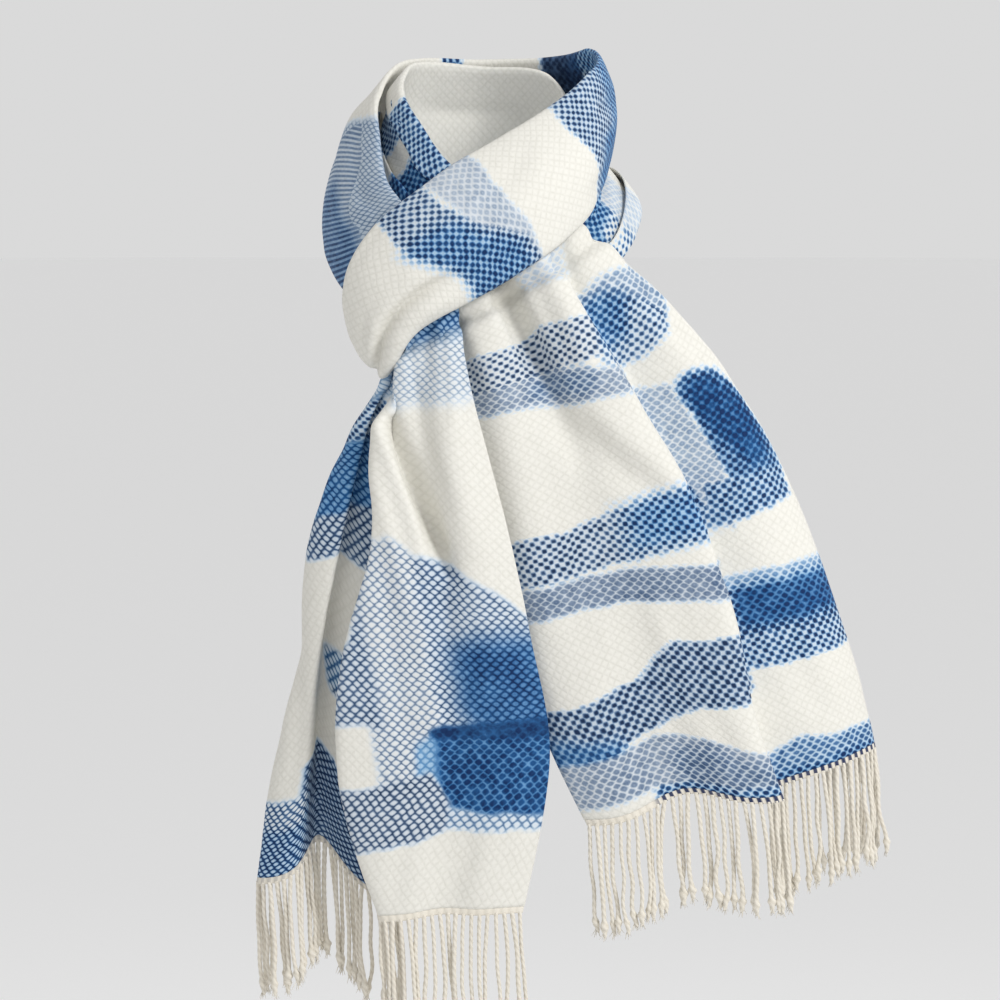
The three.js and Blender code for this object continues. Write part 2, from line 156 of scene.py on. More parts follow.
ROLL_OUT = 0.6
ROLL_BACK = 0.9
TUCK_BEND = 0.45
TUCK_BACK = 1.05
LIP_HEIGHT = 0.5


def unit(vectors):
    """Each vector divided by its own length."""
    return vectors / np.linalg.norm(vectors, axis=-1, keepdims=True)


def end_rows(stations, folds):
    """One row of points for each station: x and y from the folds, z on the weft's line plus sag."""
    _, left_x, left_z, right_x, right_z, share = (np.array(column) for column in zip(*stations))
    x = np.array([fold[1] for fold in folds], float).T
    y = np.array([fold[2] for fold in folds], float).T
    sag = np.array([fold[3] for fold in folds], float)
    across = np.clip((x - left_x[:, None]) / (right_x - left_x)[:, None], -PAST_THE_EDGE, 1 + PAST_THE_EDGE)
    z = left_z[:, None] + across * (right_z - left_z)[:, None] + share[:, None] * sag
    return np.stack([x, y, z], axis=-1)


def wound_rows(table):
    """One section for each row: tuck, upper roll, crowned middle, lower roll, tuck.

    With t the walk, d from the upper to the lower edge and n = t x d, a point is
    upper + d * way + n * height, and the middle's height is CROWN_LIFT * crown * sin(pi * share).
    """
    _, upper, lower, crown, radius, upper_tuck, lower_tuck, pleat = (
        np.array(column, float if i else str) for i, column in enumerate(zip(*table)))
    span = lower - upper
    width = np.linalg.norm(span, axis=1)
    down = unit(span)
    middle = (upper + lower) / 2
    walk = np.concatenate([
        middle[1:2] - middle[:1],
        middle[2:] - middle[:-2],
        middle[-1:] - middle[-2:-1],
    ])
    out = unit(np.cross(walk, down))
    behind = 2 * radius

    def crowned(share, offset):
        return share * width, CROWN_LIFT * crown * np.sin(np.pi * share) + offset

    lip = np.full_like(width, LIP_HEIGHT)
    profile = [
        crowned(upper_tuck / width, -behind),
        crowned(TUCK_BEND * upper_tuck / width, -TUCK_BACK * behind),
        (-ROLL_OUT * radius, -ROLL_BACK * behind),
        (-ROLL_OUT * radius, lip),
        crowned(0.2, 0),
        crowned(0.4, PLEAT_DEPTH * pleat),
        crowned(0.6, -PLEAT_DEPTH * pleat),
        crowned(0.8, 0),
        (width + ROLL_OUT * radius, lip),
        (width + ROLL_OUT * radius, -ROLL_BACK * behind),
        crowned(1 - TUCK_BEND * lower_tuck / width, -TUCK_BACK * behind),
        crowned(1 - lower_tuck / width, -behind),
    ]
    way = np.stack([step[0] for step in profile], axis=1)[..., None]
    height = np.stack([step[1] for step in profile], axis=1)[..., None]
    return upper[:, None] + down[:, None] * way + out[:, None] * height


ROWS = MM * np.concatenate([
    end_rows(LEFT_STATIONS, LEFT_FOLDS)[::-1],
    wound_rows(WOUND),
    end_rows(RIGHT_STATIONS, RIGHT_FOLDS),
])
ROW_NAMES = [row[0] for row in LEFT_STATIONS[::-1] + WOUND + RIGHT_STATIONS]


def across_weights(across):
    """Uniform cubic B-spline over the folds, its ends carried one step on: one row for each point."""
    last = FOLDS_ACROSS - 1
    place = np.minimum(across, 1 - 1e-9) * last
    k = place.astype(int)
    f = place - k
    basis = [(1 - f) ** 3, 3 * f ** 3 - 6 * f ** 2 + 4, -3 * f ** 3 + 3 * f ** 2 + 3 * f + 1, f ** 3]
    padded = np.zeros((len(across), FOLDS_ACROSS + 2))
    for i, weight in enumerate(basis):
        padded[np.arange(len(across)), k + i] += weight / 6
    weights = padded[:, 1:-1].copy()
    weights[:, 0] += 2 * padded[:, 0]
    weights[:, 1] -= padded[:, 0]
    weights[:, -1] += 2 * padded[:, -1]
    weights[:, -2] -= padded[:, -1]
    return weights


def along_weights(along):
    """Catmull-Rom through the rows, with along counted in rows: one row for each point."""
    last = len(ROWS) - 1
    k = np.clip(np.floor(along).astype(int), 0, last - 1)
    f = along - k
    basis = [
        2 * f ** 2 - f ** 3 - f,
        3 * f ** 3 - 5 * f ** 2 + 2,
        4 * f ** 2 - 3 * f ** 3 + f,
        f ** 3 - f ** 2,
    ]
    weights = np.zeros((len(along), last + 1))
    for i, weight in enumerate(basis):
        np.add.at(weights, (np.arange(len(along)), np.clip(k - 1 + i, 0, last)), weight / 2)
    return weights


def strip(along, across):
    """The grid of points at the given rows and shares across, in metres."""
    return np.einsum("ir,jc,rcx->ijx", along_weights(along), across_weights(across), ROWS)


CLOTH_THICKNESS = 0.0011
CLOTH_STEP = 0.0021
END_GAP = 0.00015
ROUGH_PER_ROW = 40
ROUGH_ACROSS = 241
NOISE_NET = 64


def soft_noise(x, y, size, seed):
    """Smooth random hills between -1 and 1: seeded values on a square net, blended by 3t^2 - 2t^3."""
    values = np.random.default_rng(seed).uniform(-1, 1, (NOISE_NET, NOISE_NET))
    left = np.floor(x / size).astype(int)
    lower = np.floor(y / size).astype(int)
    tx = x / size - left
    ty = y / size - lower
    tx = tx * tx * (3 - 2 * tx)
    ty = ty * ty * (3 - 2 * ty)
    right = (left + 1) % NOISE_NET
    upper = (lower + 1) % NOISE_NET
    left = left % NOISE_NET
    lower = lower % NOISE_NET
    low = values[lower, left] * (1 - tx) + values[lower, right] * tx
    high = values[upper, left] * (1 - tx) + values[upper, right] * tx
    return low * (1 - ty) + high * ty


def running_length(points, axis):
    """How far each point of a grid lies along its own line, as the sum of the steps before it."""
    steps = np.linalg.norm(np.diff(points, axis=axis), axis=-1)
    pad = [(0, 0), (0, 0)]
    pad[axis] = (1, 0)
    return np.cumsum(np.pad(steps, pad), axis=axis)


def surface_normals(points):
    """The unit cross product of the grid's slopes along and across."""
    return unit(np.cross(np.gradient(points, axis=0), np.gradient(points, axis=1)))


def stretch_grid(first, last, across_from):
    """The points of one stretch on a near-square net, with each point's place on the flat cloth.

    across is measured in millimetres from the upper edge, the middle or the lower edge, along from
    the first row, and both follow the curved cloth. Steps are even across the stretch's widest row.
    """
    start = ROW_NAMES.index(first)
    end = ROW_NAMES.index(last)
    rough_along = np.linspace(start, end, ROUGH_PER_ROW * (end - start) + 1)
    rough_across = np.linspace(0, 1, ROUGH_ACROSS)
    rough = strip(rough_along, rough_across)
    middle = slice(ROUGH_ACROSS // 4, 3 * ROUGH_ACROSS // 4 + 1)
    walked = running_length(rough, 0)[:, middle].mean(axis=1)
    widths = running_length(rough, 1)
    spread = widths.max(axis=0)
    rows = int(walked[-1] / CLOTH_STEP)
    columns = int(widths.max() / CLOTH_STEP)
    distance = np.linspace(END_GAP, walked[-1] - END_GAP, rows)
    along = np.interp(distance, walked, rough_along)
    across = np.interp(np.linspace(0, spread[-1], columns), spread, rough_across)
    points = strip(along, across)
    width = running_length(points, 1)
    origin = {"upper": 0, "middle": columns // 2, "lower": columns - 1}[across_from]
    flat_across = width - width[:, origin:origin + 1]
    if across_from == "lower":
        flat_across = -flat_across
    flat_along = np.repeat(distance[:, None], columns, axis=1)
    return points, flat_across / MM, flat_along / MM


# Heights and sizes of the cloth's small random hills, in millimetres, and a crease's shares: of its
# length to fade in over, of its depth left at the tip, and of its depth and width in the shoulders.
HILL_HEIGHT = 0.5
HILL_SIZE = 34
RIPPLE_HEIGHT = 0.22
RIPPLE_SIZE = 13
FADE_IN = 0.3
TIP_LEFT = 0.15
SHOULDER_DEPTH = 0.35
SHOULDER_WIDTH = 2.4


def creased(points, across, along, creases, facing, seed):
    """The cloth moved along its own normal by its creases and by small random hills.

    A crease is a bowed line from one place on the flat cloth to another. Its depth fades in a bell
    over its width, exp(-(side / width)^2), with a low shoulder on each side, and it dies out towards
    both of its ends.
    """
    height = HILL_HEIGHT * soft_noise(across, along, HILL_SIZE, seed)
    height = height + RIPPLE_HEIGHT * soft_noise(across, along, RIPPLE_SIZE, seed + 1)
    for _, (x0, y0), (x1, y1), bow, depth, width in creases:
        length = math.hypot(x1 - x0, y1 - y0)
        way = ((across - x0) * (x1 - x0) + (along - y0) * (y1 - y0)) / length ** 2
        side = ((across - x0) * (y1 - y0) - (along - y0) * (x1 - x0)) / length
        side = side - 4 * bow * way * (1 - way)
        fade = np.clip(np.minimum(way, 1 - way) / FADE_IN + TIP_LEFT, 0, 1)
        shoulder = SHOULDER_DEPTH * np.exp(-((side / (SHOULDER_WIDTH * width)) ** 2))
        bell = np.exp(-((side / width) ** 2)) - shoulder
        height = height - depth * fade * fade * (3 - 2 * fade) * bell
    return points + surface_normals(points) * facing * height[..., None] * MM


def cloth_shell(name, points, thickness):
    """A closed shell: the grid moved out and in by half its thickness, joined by a rounded rim."""
    rows, columns = points.shape[:2]
    half = np.broadcast_to(thickness, (rows, columns))[..., None] / 2
    normals = surface_normals(points) * half
    grid = np.arange(rows * columns).reshape(rows, columns)
    rim = np.concatenate([grid[0, :-1], grid[:-1, -1], grid[-1, :0:-1], grid[:0:-1, 0]])
    flat = points.reshape(-1, 3)
    inner_rows = np.clip(np.arange(rows), 1, rows - 2)
    inner_columns = np.clip(np.arange(columns), 1, columns - 2)
    inward = points[inner_rows][:, inner_columns]
    outward = unit((points - inward).reshape(-1, 3)[rim]) * half.reshape(-1, 1)[rim] / 2
    vertices = np.concatenate([
        flat + normals.reshape(-1, 3),
        flat - normals.reshape(-1, 3),
        flat[rim] + outward,
    ])
    below = rows * columns
    ring = 2 * below + np.arange(len(rim))
    a, b, c, d = grid[:-1, :-1], grid[1:, :-1], grid[1:, 1:], grid[:-1, 1:]
    top = np.stack([a, b, c, d], axis=-1).reshape(-1, 4)
    ahead = np.roll(rim, -1)
    ring_ahead = np.roll(ring, -1)
    upper_rim = np.stack([rim, ahead, ring_ahead, ring], axis=-1)
    lower_rim = np.stack([ring, ring_ahead, ahead + below, rim + below], axis=-1)
    faces = np.concatenate([top, top[:, ::-1] + below, upper_rim, lower_rim])
    source = np.concatenate([np.arange(below), np.arange(below), rim])
    mesh = bpy.data.meshes.new(name)
    mesh.from_pydata(vertices, [], faces.tolist())
    mesh.polygons.foreach_set("use_smooth", np.ones(len(faces), bool))
    mesh.update()
    piece = bpy.data.objects.new(name, mesh)
    bpy.context.scene.collection.objects.link(piece)
    return piece, source


def store(piece, name, values):
    """One number for each vertex, kept under a name that the material reads."""
    layer = piece.data.attributes.new(name, "FLOAT", "POINT")
    layer.data.foreach_set("value", np.asarray(values, np.float32))


def store_uv(piece, u, v):
    """The flat cloth's own coordinates, in metres, given to every corner of every face."""
    corner = np.empty(len(piece.data.loops), np.int32)
    piece.data.loops.foreach_get("vertex_index", corner)
    layer = piece.data.uv_layers.new(name="weave")
    layer.data.foreach_set("uv", np.stack([u[corner], v[corner]], axis=-1).astype(np.float32).ravel())


def soft_step(x):
    """0 below -0.5 and 1 above 0.5, joined by 3t^2 - 2t^3."""
    t = np.clip(x + 0.5, 0, 1)
    return t * t * (3 - 2 * t)


# How each ink dies out at a dip's edge: the power that its share of the dip is raised to. Undyed
# cloth takes no ink, and its fill and grey are what a dip's fading edge blends towards.
EDGE_POWER = {"dots": 0.7, "ground": 2.0, "fill": 0.3, "grey": 0.9}
UNDYED = {"dots": 0.0, "ground": 0.0, "fill": 0.5, "grey": 0.5}
EDGE_WANDER = [(1.3, 9), (1.0, 26)]
PATCHINESS = 0.1
PATCH_SIZE = 17


def dyed(across, along, bands, seed):
    """The inks that each place has taken up, after every dip in turn.

    A dip lies between a lower and an upper edge, each a broken line over the width, and its edges
    and its two ends are soft. Where dips overlap, the later one covers the earlier.
    """
    taken = {ink: np.full_like(across, strength) for ink, strength in UNDYED.items()}
    wander = sum(
        reach * soft_noise(across, along, size, seed + i) for i, (reach, size) in enumerate(EDGE_WANDER))
    for _, places, low, high, edge, ends, dots, ground, fill, grey in bands:
        lower = np.interp(across, places, low)
        upper = np.interp(across, places, high)
        inside = soft_step((along + wander - lower) / edge) * soft_step((upper - along - wander) / edge)
        inside = inside * soft_step((across + wander - places[0]) / ends)
        inside = inside * soft_step((places[-1] - across - wander) / ends)
        dip = {"dots": dots, "ground": ground, "fill": fill, "grey": grey}
        for ink, strength in dip.items():
            taken[ink] = taken[ink] + (strength - taken[ink]) * inside ** EDGE_POWER[ink]
    patchy = 1 + PATCHINESS * soft_noise(across, along, PATCH_SIZE, seed + 2)
    taken["dots"] = np.clip(taken["dots"] * patchy, 0, 1)
    taken["ground"] = np.clip(taken["ground"] * patchy, 0, 1)
    return taken


class Value:
    """A number or colour in a material. Sums on a number add the Math nodes that work them out."""

    tree = None

    def __init__(self, socket):
        self.socket = socket

    @classmethod
    def node(cls, kind, settings=None, inputs=None, output=0):
        """A node of a kind with its settings made first, then its inputs set or linked."""
        made = cls.tree.nodes.new(kind)
        for name, value in (settings or {}).items():
            if name == "stops":
                cls.set_stops(made.color_ramp.elements, value)
            else:
                setattr(made, name, value)
        for name, value in (inputs or {}).items():
            if isinstance(value, Value):
                cls.tree.links.new(value.socket, made.inputs[name])
            else:
                made.inputs[name].default_value = value
        return cls(made.outputs[output]) if len(made.outputs) else made

    @staticmethod
    def set_stops(elements, stops):
        """A ramp's places and colours, in order."""
        while len(elements) < len(stops):
            elements.new(0.5)
        for element, (place, colour) in zip(elements, stops):
            element.position = place
            element.color = colour

    def maths(self, operation, *others):
        """One Math node on this number and the others."""
        return Value.node("ShaderNodeMath", {"operation": operation}, dict(enumerate((self, *others))))

    def __add__(self, other):
        return self.maths("ADD", other)

    __radd__ = __add__

    def __mul__(self, other):
        return self.maths("MULTIPLY", other)

    __rmul__ = __mul__

    def __sub__(self, other):
        return self.maths("SUBTRACT", other)

    def __rsub__(self, other):
        return (self * -1).maths("ADD", other)

    def __abs__(self):
        return self.maths("ABSOLUTE")


def colour(red, green, blue):
    """A screen colour from 0 to 255 as the linear colour that a shader takes."""
    shares = np.array([red, green, blue]) / 255
    linear = np.where(shares <= 0.04045, shares / 12.92, ((shares + 0.055) / 1.055) ** 2.4)
    return (*linear.tolist(), 1.0)


def mixed(factor, first, second):
    """A blend of two colours."""
    return Value.node("ShaderNodeMix", {"data_type": "RGBA"}, {0: factor, 6: first, 7: second}, output=2)


# Bird's-eye weave: small lozenges in rows, each row half a step on from the last, between slanting
# lines. Where the dyed side of the weave shows it reads as checks, on its other side as lozenges in
# a net, and where the cloth is pulled along its weft as ribs.
LOZENGE_ACROSS = 0.0069
LOZENGE_ALONG = 0.0064
RIB_PITCH = 0.0047
CHECKS_UP_TO = 0.58
RIBS_FROM = 1.0
THREAD = 0.0009
THREAD_WANDER = 0.0022
SLANT_STEPS = 400
RIB_THINNING = 0.7
OVAL_DOT = 2.1
UNEVEN_DOTS = 0.26
UNEVEN_INK = 0.45
SOFT_DOT = 0.28
FLECKS_ACROSS = 3.0
PALE_FLECKS = 0.35
# HOLLOW_SHADE and THREAD_SHADE darken the colour as painted shade, in the weave's hollows between the
# lozenges and between the threads, towards the greyer cotton below.
HOLLOW_SHADE = 0.42
THREAD_SHADE = 0.14
WHITE_COTTON = colour(228, 226, 219)
HOLLOW_SHADE_COLOUR = colour(206, 206, 198)
INDIGO = [
    (0.0, WHITE_COTTON),
    (0.12, colour(206, 222, 236)),
    (0.3, colour(158, 192, 221)),
    (0.5, colour(98, 147, 194)),
    (0.75, colour(34, 90, 146)),
    (1.0, colour(12, 44, 90)),
]
GREY_INDIGO = [
    (0.0, WHITE_COTTON),
    (0.12, colour(214, 219, 225)),
    (0.3, colour(182, 193, 206)),
    (0.5, colour(136, 152, 174)),
    (0.75, colour(76, 98, 129)),
    (1.0, colour(27, 45, 72)),
]


def dyed_cotton():
    """The cloth's material: two inks read from the mesh, laid out by the weave, with its relief, and with
    painted shade darkening the colour in the weave's hollows and between its threads.

    Lozenge centres lie where both slanting counts are whole. Each count's distance from a whole
    number, doubled, is 0 at a centre and 1 on a line. A circle about the centre blended with the sum
    of the two draws rounded checks, and an ellipse, wider than it is high, blended with the larger
    of the two draws a net. fill says how far from the centre the first ink reaches.
    """
    material = bpy.data.materials.new("dyed_cotton")
    material.use_nodes = True
    Value.tree = material.node_tree
    Value.tree.nodes.clear()
    dots, ground, fill, grey = (
        Value.node("ShaderNodeAttribute", {"attribute_name": name}, output=2)
        for name in UNDYED)
    place = Value.node("ShaderNodeUVMap", {"uv_map": "weave"})
    u = Value.node("ShaderNodeSeparateXYZ", None, {0: place}, output=0)
    v = Value.node("ShaderNodeSeparateXYZ", None, {0: place}, output=1)
    slow_noise = Value.node("ShaderNodeTexNoise", {"noise_dimensions": "2D"},
                            {"Vector": place, "Scale": 70.0, "Detail": 1.0})
    bend = (slow_noise - 0.5) * THREAD_WANDER
    across = (u + bend) * (1 / LOZENGE_ACROSS)
    along = (v - bend) * (1 / LOZENGE_ALONG)
    rising = across + along
    falling = across - along
    rising = rising - rising.maths("ROUND")
    falling = falling - falling.maths("ROUND")
    width = rising + falling
    height = rising - falling
    circle = (width * width + height * height).maths("SQRT")
    checks = (abs(rising) + abs(falling)) * 0.5 + circle * 0.45
    lines = abs(rising).maths("MAXIMUM", abs(falling)) * 2.0
    ellipse = (width * width + height * height * OVAL_DOT).maths("SQRT")
    net = ellipse * 0.6 + lines * 0.4
    ribs = (v * (1 / RIB_PITCH)).maths("PINGPONG", 0.5) * 2.0
    netted = Value.node("ShaderNodeClamp", None, {"Value": (fill - CHECKS_UP_TO) * 20.0})
    ribbed = Value.node("ShaderNodeClamp", None, {"Value": (fill - RIBS_FROM + 0.1) * 10.0})
    from_centre = checks + (net - checks) * netted
    from_centre = from_centre + (ribs - from_centre) * ribbed
    cell_noise = Value.node("ShaderNodeTexNoise", {"noise_dimensions": "2D"},
                            {"Vector": place, "Scale": 170.0, "Detail": 2.0})
    edge = fill - ribbed * RIB_THINNING + (cell_noise - 0.5) * UNEVEN_DOTS
    dot = Value.node("ShaderNodeMapRange", {"interpolation_type": "SMOOTHSTEP"},
                     {"Value": from_centre, "From Min": edge + SOFT_DOT, "From Max": edge - SOFT_DOT})
    fleck_across = (across * FLECKS_ACROSS).maths("PINGPONG", 0.5) * 2.0
    fleck_along = (along * FLECKS_ACROSS).maths("PINGPONG", 0.5) * 2.0
    dot_ink = dots * (1.0 - (1.0 - dots) * fleck_across * fleck_along * PALE_FLECKS)
    ink = ground + (dot_ink - ground) * dot
    ink = (ink * (1.0 + (cell_noise - 0.5) * UNEVEN_INK)).maths("MINIMUM", 1.0)
    blue = Value.node("ShaderNodeValToRGB", {"stops": INDIGO}, {"Fac": ink})
    slate = Value.node("ShaderNodeValToRGB", {"stops": GREY_INDIGO}, {"Fac": ink})
    tint = mixed(grey, blue, slate)
    thread = (u * (2 * math.pi / THREAD)).maths("SINE") * (v * (2 * math.pi / THREAD)).maths("SINE")
    raised = 1.0 - lines * lines
    # Painted shade, multiplied into the colour: darker in the hollows between the lozenges and between the
    # threads.
    shade = (1.0 - raised) * cell_noise * HOLLOW_SHADE + (0.5 - thread * 0.5) * THREAD_SHADE
    hollow = Value.node("ShaderNodeMix", {"data_type": "RGBA", "blend_type": "MULTIPLY"},
                        {0: shade, 6: tint, 7: HOLLOW_SHADE_COLOUR}, output=2)
    relief = raised * 0.4 + thread * 0.14 + cell_noise * 0.7
    bump = Value.node("ShaderNodeBump", None, {"Strength": 0.7, "Distance": 0.0007, "Height": relief})
    shader = Value.node("ShaderNodeBsdfPrincipled", None, {
        "Base Color": hollow, "Roughness": 0.74 - raised * 0.16, "Normal": bump,
        "Sheen Weight": 0.06, "Sheen Roughness": 0.4, "Specular IOR Level": 0.12})
    Value.node("ShaderNodeOutputMaterial", None, {"Surface": shader})
    return material


DYED_COTTON = dyed_cotton()


def weave_stretch(name, first, last, across_from, creases, bands, slants, seed, turned=False):
    """One stretch of the cloth: its creased shell, its inks, its weave and its material.

    slants gives, at places along the stretch, how far the weft has slipped along for each step
    across, and half the running sum of it moves the warp across. A turned stretch shows the cloth's
    other side and is measured from its far end.
    """
    points, across, along = stretch_grid(first, last, across_from)
    if turned:
        along = along.max() - along
    points = creased(points, across, along, creases, -1 if turned else 1, seed)
    piece, source = cloth_shell(name, points, CLOTH_THICKNESS)
    for ink, strength in dyed(across, along, bands, seed + 10).items():
        store(piece, ink, strength.ravel()[source])
    slant = np.interp(along, *zip(*slants))
    line = np.linspace(0, along.max(), SLANT_STEPS)
    drift = np.interp(along, line, np.cumsum(np.interp(line, *zip(*slants))) * (line[1] - line[0]) / 2)
    u = (across + drift) * MM
    v = (along - slant * across) * MM
    store_uv(piece, u.ravel()[source], v.ravel()[source])
    piece.data.materials.append(DYED_COTTON)
    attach(piece, "root")
    return piece, points


# The left end. It comes out from under the band, falls in a broad middle panel with its selvedge to
# the right, is folded back behind itself, and ends in a narrower panel further left.
LEFT_CREASES = [
    # name, from (across, along), to, bow, depth, width; across is from the selvedge, along from the hem
    ("gather_by_selvedge", (14, 412), (24, 318), 3, 1.4, 4),
    ("gather_by_valley", (36, 414), (40, 335), -2, 1.5, 4),
    ("valley", (65, 364), (47, 212), 0, 20.0, 7),
    ("valley_line", (69, 360), (53, 236), 0, 8.0, 3.5),
    ("valley_wall", (56, 376), (36, 206), 0, 8.0, 13),
    ("valley_foot", (54, 268), (60, 150), 2, 2.4, 8),
    ("panel_ridge", (92, 380), (82, 190), 4, -3.0, 7),
    ("panel_roll", (74, 262), (80, 70), 2, -1.6, 8),
    ("beside_roll", (92, 236), (98, 95), -2, 1.4, 7),
    ("wide_ridge", (26, 330), (34, 190), -4, -2.0, 11),
    ("under_the_band", (-50, 404), (120, 378), 2, 6.0, 7),
    ("hip_hollow", (34, 150), (52, 62), 4, 1.2, 11),
    ("hem_hollow", (48, 48), (54, 2), 2, 1.4, 10),
    ("hem_wave", (96, 60), (90, 2), -3, 1.5, 9),
    ("side_pleat", (236, 232), (262, 70), 5, 2.2, 8),
    ("side_gather", (132, 372), (176, 262), 4, 1.6, 6),
    ("side_hem_wave", (262, 52), (266, 4), 2, 1.4, 7),
]
LEFT_DIPS = [
    # name, places across, lower edge, upper edge, edge, ends, dots, ground, fill, grey
    ("by_knot", (-9, 30, 62, 78), (334, 336, 344, 352), (470, 470, 470, 470),
     18, 6, 0.08, 0.44, 0.76, 0.85),
    # Just under the band the left end is dark: partly its indigo dye, partly painted shadow of the band.
    ("knot_blue_and_shade", (-9, 30, 62, 78), (388, 388, 384, 376), (470, 470, 470, 470),
     22, 6, 0.42, 0.92, 0.68, 0.2),
    ("main", (-9, 10, 25, 45, 70, 95, 116), (112, 112, 112, 112, 100, 84, 84),
     (172, 196, 210, 227, 240, 256, 252), 8, 8, 0.18, 0.78, 0.73, 0.85),
    ("main_pale", (72, 84, 122), (60, 58, 58), (246, 256, 252), 10, 9, 0.08, 0.62, 0.76, 0.95),
    ("main_rich", (-9, 8, 36, 56), (94, 96, 106, 116), (162, 170, 174, 172), 26, 24, 0.62, 0.94, 0.68, 0.1),
    ("behind_main", (112, 125, 160, 205), (124, 130, 132, 134), (212, 186, 172, 162),
     6, 8, 0.18, 0.80, 0.71, 0.9),
    ("under_block", (-9, 76, 84), (40, 50, 54), (50, 64, 66), 4, 5, 0.12, 0.62, 0.73, 0.6),
    ("block", (-9, 5, 76, 82), (49, 50, 64, 66), (98, 99, 116, 117), 3, 4, 0.96, 0.58, 0.76, 0.0),
    ("block_top", (-9, 5, 74, 80), (97, 98, 108, 109), (110, 111, 117, 118), 5, 5, 0.98, 0.86, 0.74, 0.1),
    ("block_side", (78, 84, 94), (66, 66, 70), (112, 112, 110), 8, 8, 0.30, 0.5, 0.7, 0.0),
    ("low", (68, 84, 150, 176), (48, 45, 44, 34), (66, 88, 88, 86), 4, 8, 0.20, 0.86, 0.71, 1.0),
    ("recess_low", (150, 165, 190, 205, 250), (-9, -9, -9, -9, -9), (16, 34, 58, 86, 86),
     5, 8, 0.38, 1.0, 0.64, 0.65),
    ("side_hem", (232, 262, 320), (-9, -9, -9), (58, 64, 70), 5, 5, 0.26, 1.0, 0.66, 0.25),
    ("side_hem_top", (240, 262, 320), (38, 42, 50), (60, 66, 72), 7, 5, 0.1, 0.85, 0.68, 0.6),
    ("side_knot", (60, 85, 125), (352, 350, 346), (420, 420, 420), 10, 6, 0.16, 0.5, 0.70, 0.4),
    ("side_dots", (88, 110, 160, 190), (300, 300, 300, 296), (350, 352, 352, 340),
     6, 6, 1.0, 0.18, 0.42, 0.45),
    ("side_rich", (104, 125, 160, 230), (268, 266, 266, 264), (318, 322, 324, 318),
     8, 6, 0.46, 0.85, 0.70, 0.0),
    ("side_lattice", (112, 140, 175, 206), (214, 226, 238, 240), (272, 272, 270, 268),
     5, 8, 0.20, 0.86, 0.70, 0.8),
    ("recess_fleck", (180, 192, 206), (140, 140, 138), (166, 164, 156), 5, 6, 0.2, 0.75, 0.66, 0.3),
]
LEFT_SLANTS = [(0, 0.12), (60, 0.12), (120, 0.14), (200, 0.20), (300, 0.34), (380, 0.38), (450, 0.38)]
tail_left, left_points = weave_stretch(
    "left_end", "left hem", "under_band", "upper", LEFT_CREASES, LEFT_DIPS, LEFT_SLANTS, seed=11)
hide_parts("tail_left")

# The outer turn. From the knot it climbs the left side of the neck, crosses the nape and comes down
# over the front as a broad rounded band, whose lower end rolls under at the left.
OUTER_CREASES = [
    # name, from (across, along), to, bow, depth, width; across is from the middle, along from the knot
    ("left_fold", (-26, 40), (-34, 150), 3, 1.6, 6),
    ("left_side", (22, 60), (14, 150), -3, 1.2, 9),
    ("nape_high", (-34, 190), (-26, 330), 4, 2.2, 7),
    ("nape_low", (24, 215), (34, 400), -5, 2.4, 8),
    ("nape_short", (4, 280), (-6, 420), 3, 1.6, 6),
    ("side_dent", (-12, 452), (-24, 528), 4, 2.0, 7),
    ("side_low", (24, 470), (32, 560), -2, 1.6, 8),
    ("front_slant", (-30, 586), (6, 668), 5, 1.4, 10),
    ("front_low", (34, 610), (28, 690), 2, 1.6, 7),
    ("front_high", (-44, 650), (-26, 744), -3, 1.5, 7),
    ("rolled_lip", (25, 668), (10, 806), -2, 9.0, 4.5),
    ("rolled_lip_edge", (38, 680), (24, 790), -2, -4.0, 6),
    ("beak", (-4, 742), (4, 800), 2, 1.6, 5),
]
OUTER_DIPS = [
    # name, places across, lower edge, upper edge, edge, ends, dots, ground, fill, grey
    ("left_net", (-99, -45, -20, 45, 99), (-9, -9, -9, -9, -9), (128, 138, 148, 152, 152),
     12, 2, 0.26, 0.58, 0.74, 0.8),
    ("left_ribs", (-32, -12, 6, 20, 99), (100, 72, 32, -9, -9), (136, 136, 136, 136, 136),
     12, 10, 0.24, 0.62, 1.2, 0.8),
    ("left_dark", (-2, 14, 99), (40, 20, 8), (100, 104, 110), 26, 16, 0.48, 0.84, 1.2, 0.45),
    ("nape_dots", (-99, 0, 99), (262, 258, 250), (280, 276, 270), 4, 2, 1.0, 0.3, 0.5, 0.2),
    ("collar_navy", (-99, -40, 10, 30), (352, 356, 372, 380), (402, 404, 404, 404),
     8, 8, 1.0, 0.80, 0.50, 0.85),
    ("collar_edge", (-99, -60, -45), (372, 380, 400), (566, 548, 470), 12, 7, 1.0, 0.84, 0.52, 0.6),
    ("right_blue", (-99, -45, -20, 0, 16, 30, 99), (392, 400, 404, 406, 406, 406, 406),
     (568, 565, 558, 545, 535, 532, 530), 4, 2, 1.0, 0.20, 0.44, 0.6),
    ("right_rich", (-60, -46, 10, 30), (392, 400, 400, 400), (505, 500, 490, 486),
     36, 10, 1.0, 0.36, 0.48, 0.0),
    ("right_smooth", (0, 20, 99), (404, 404, 404), (520, 522, 522), 22, 14, 0.98, 0.48, 0.48, 0.0),
    ("lilac", (-99, -50, 0, 20, 35, 50), (632, 632, 621, 610, 606, 603), (676, 668, 650, 633, 614, 606),
     3, 2, 0.42, 0.16, 0.68, 1.0),
    ("navy_dots", (-99, -45, -20, 0, 15, 30, 45, 99), (676, 668, 662, 650, 633, 613, 606, 600),
     (706, 702, 700, 692, 680, 669, 665, 660), 3, 2, 1.0, 0.20, 0.44, 0.7),
    ("navy_rich", (-10, 12, 30, 99), (664, 644, 618, 600), (700, 684, 668, 668),
     18, 14, 1.0, 0.34, 0.50, 0.15),
]
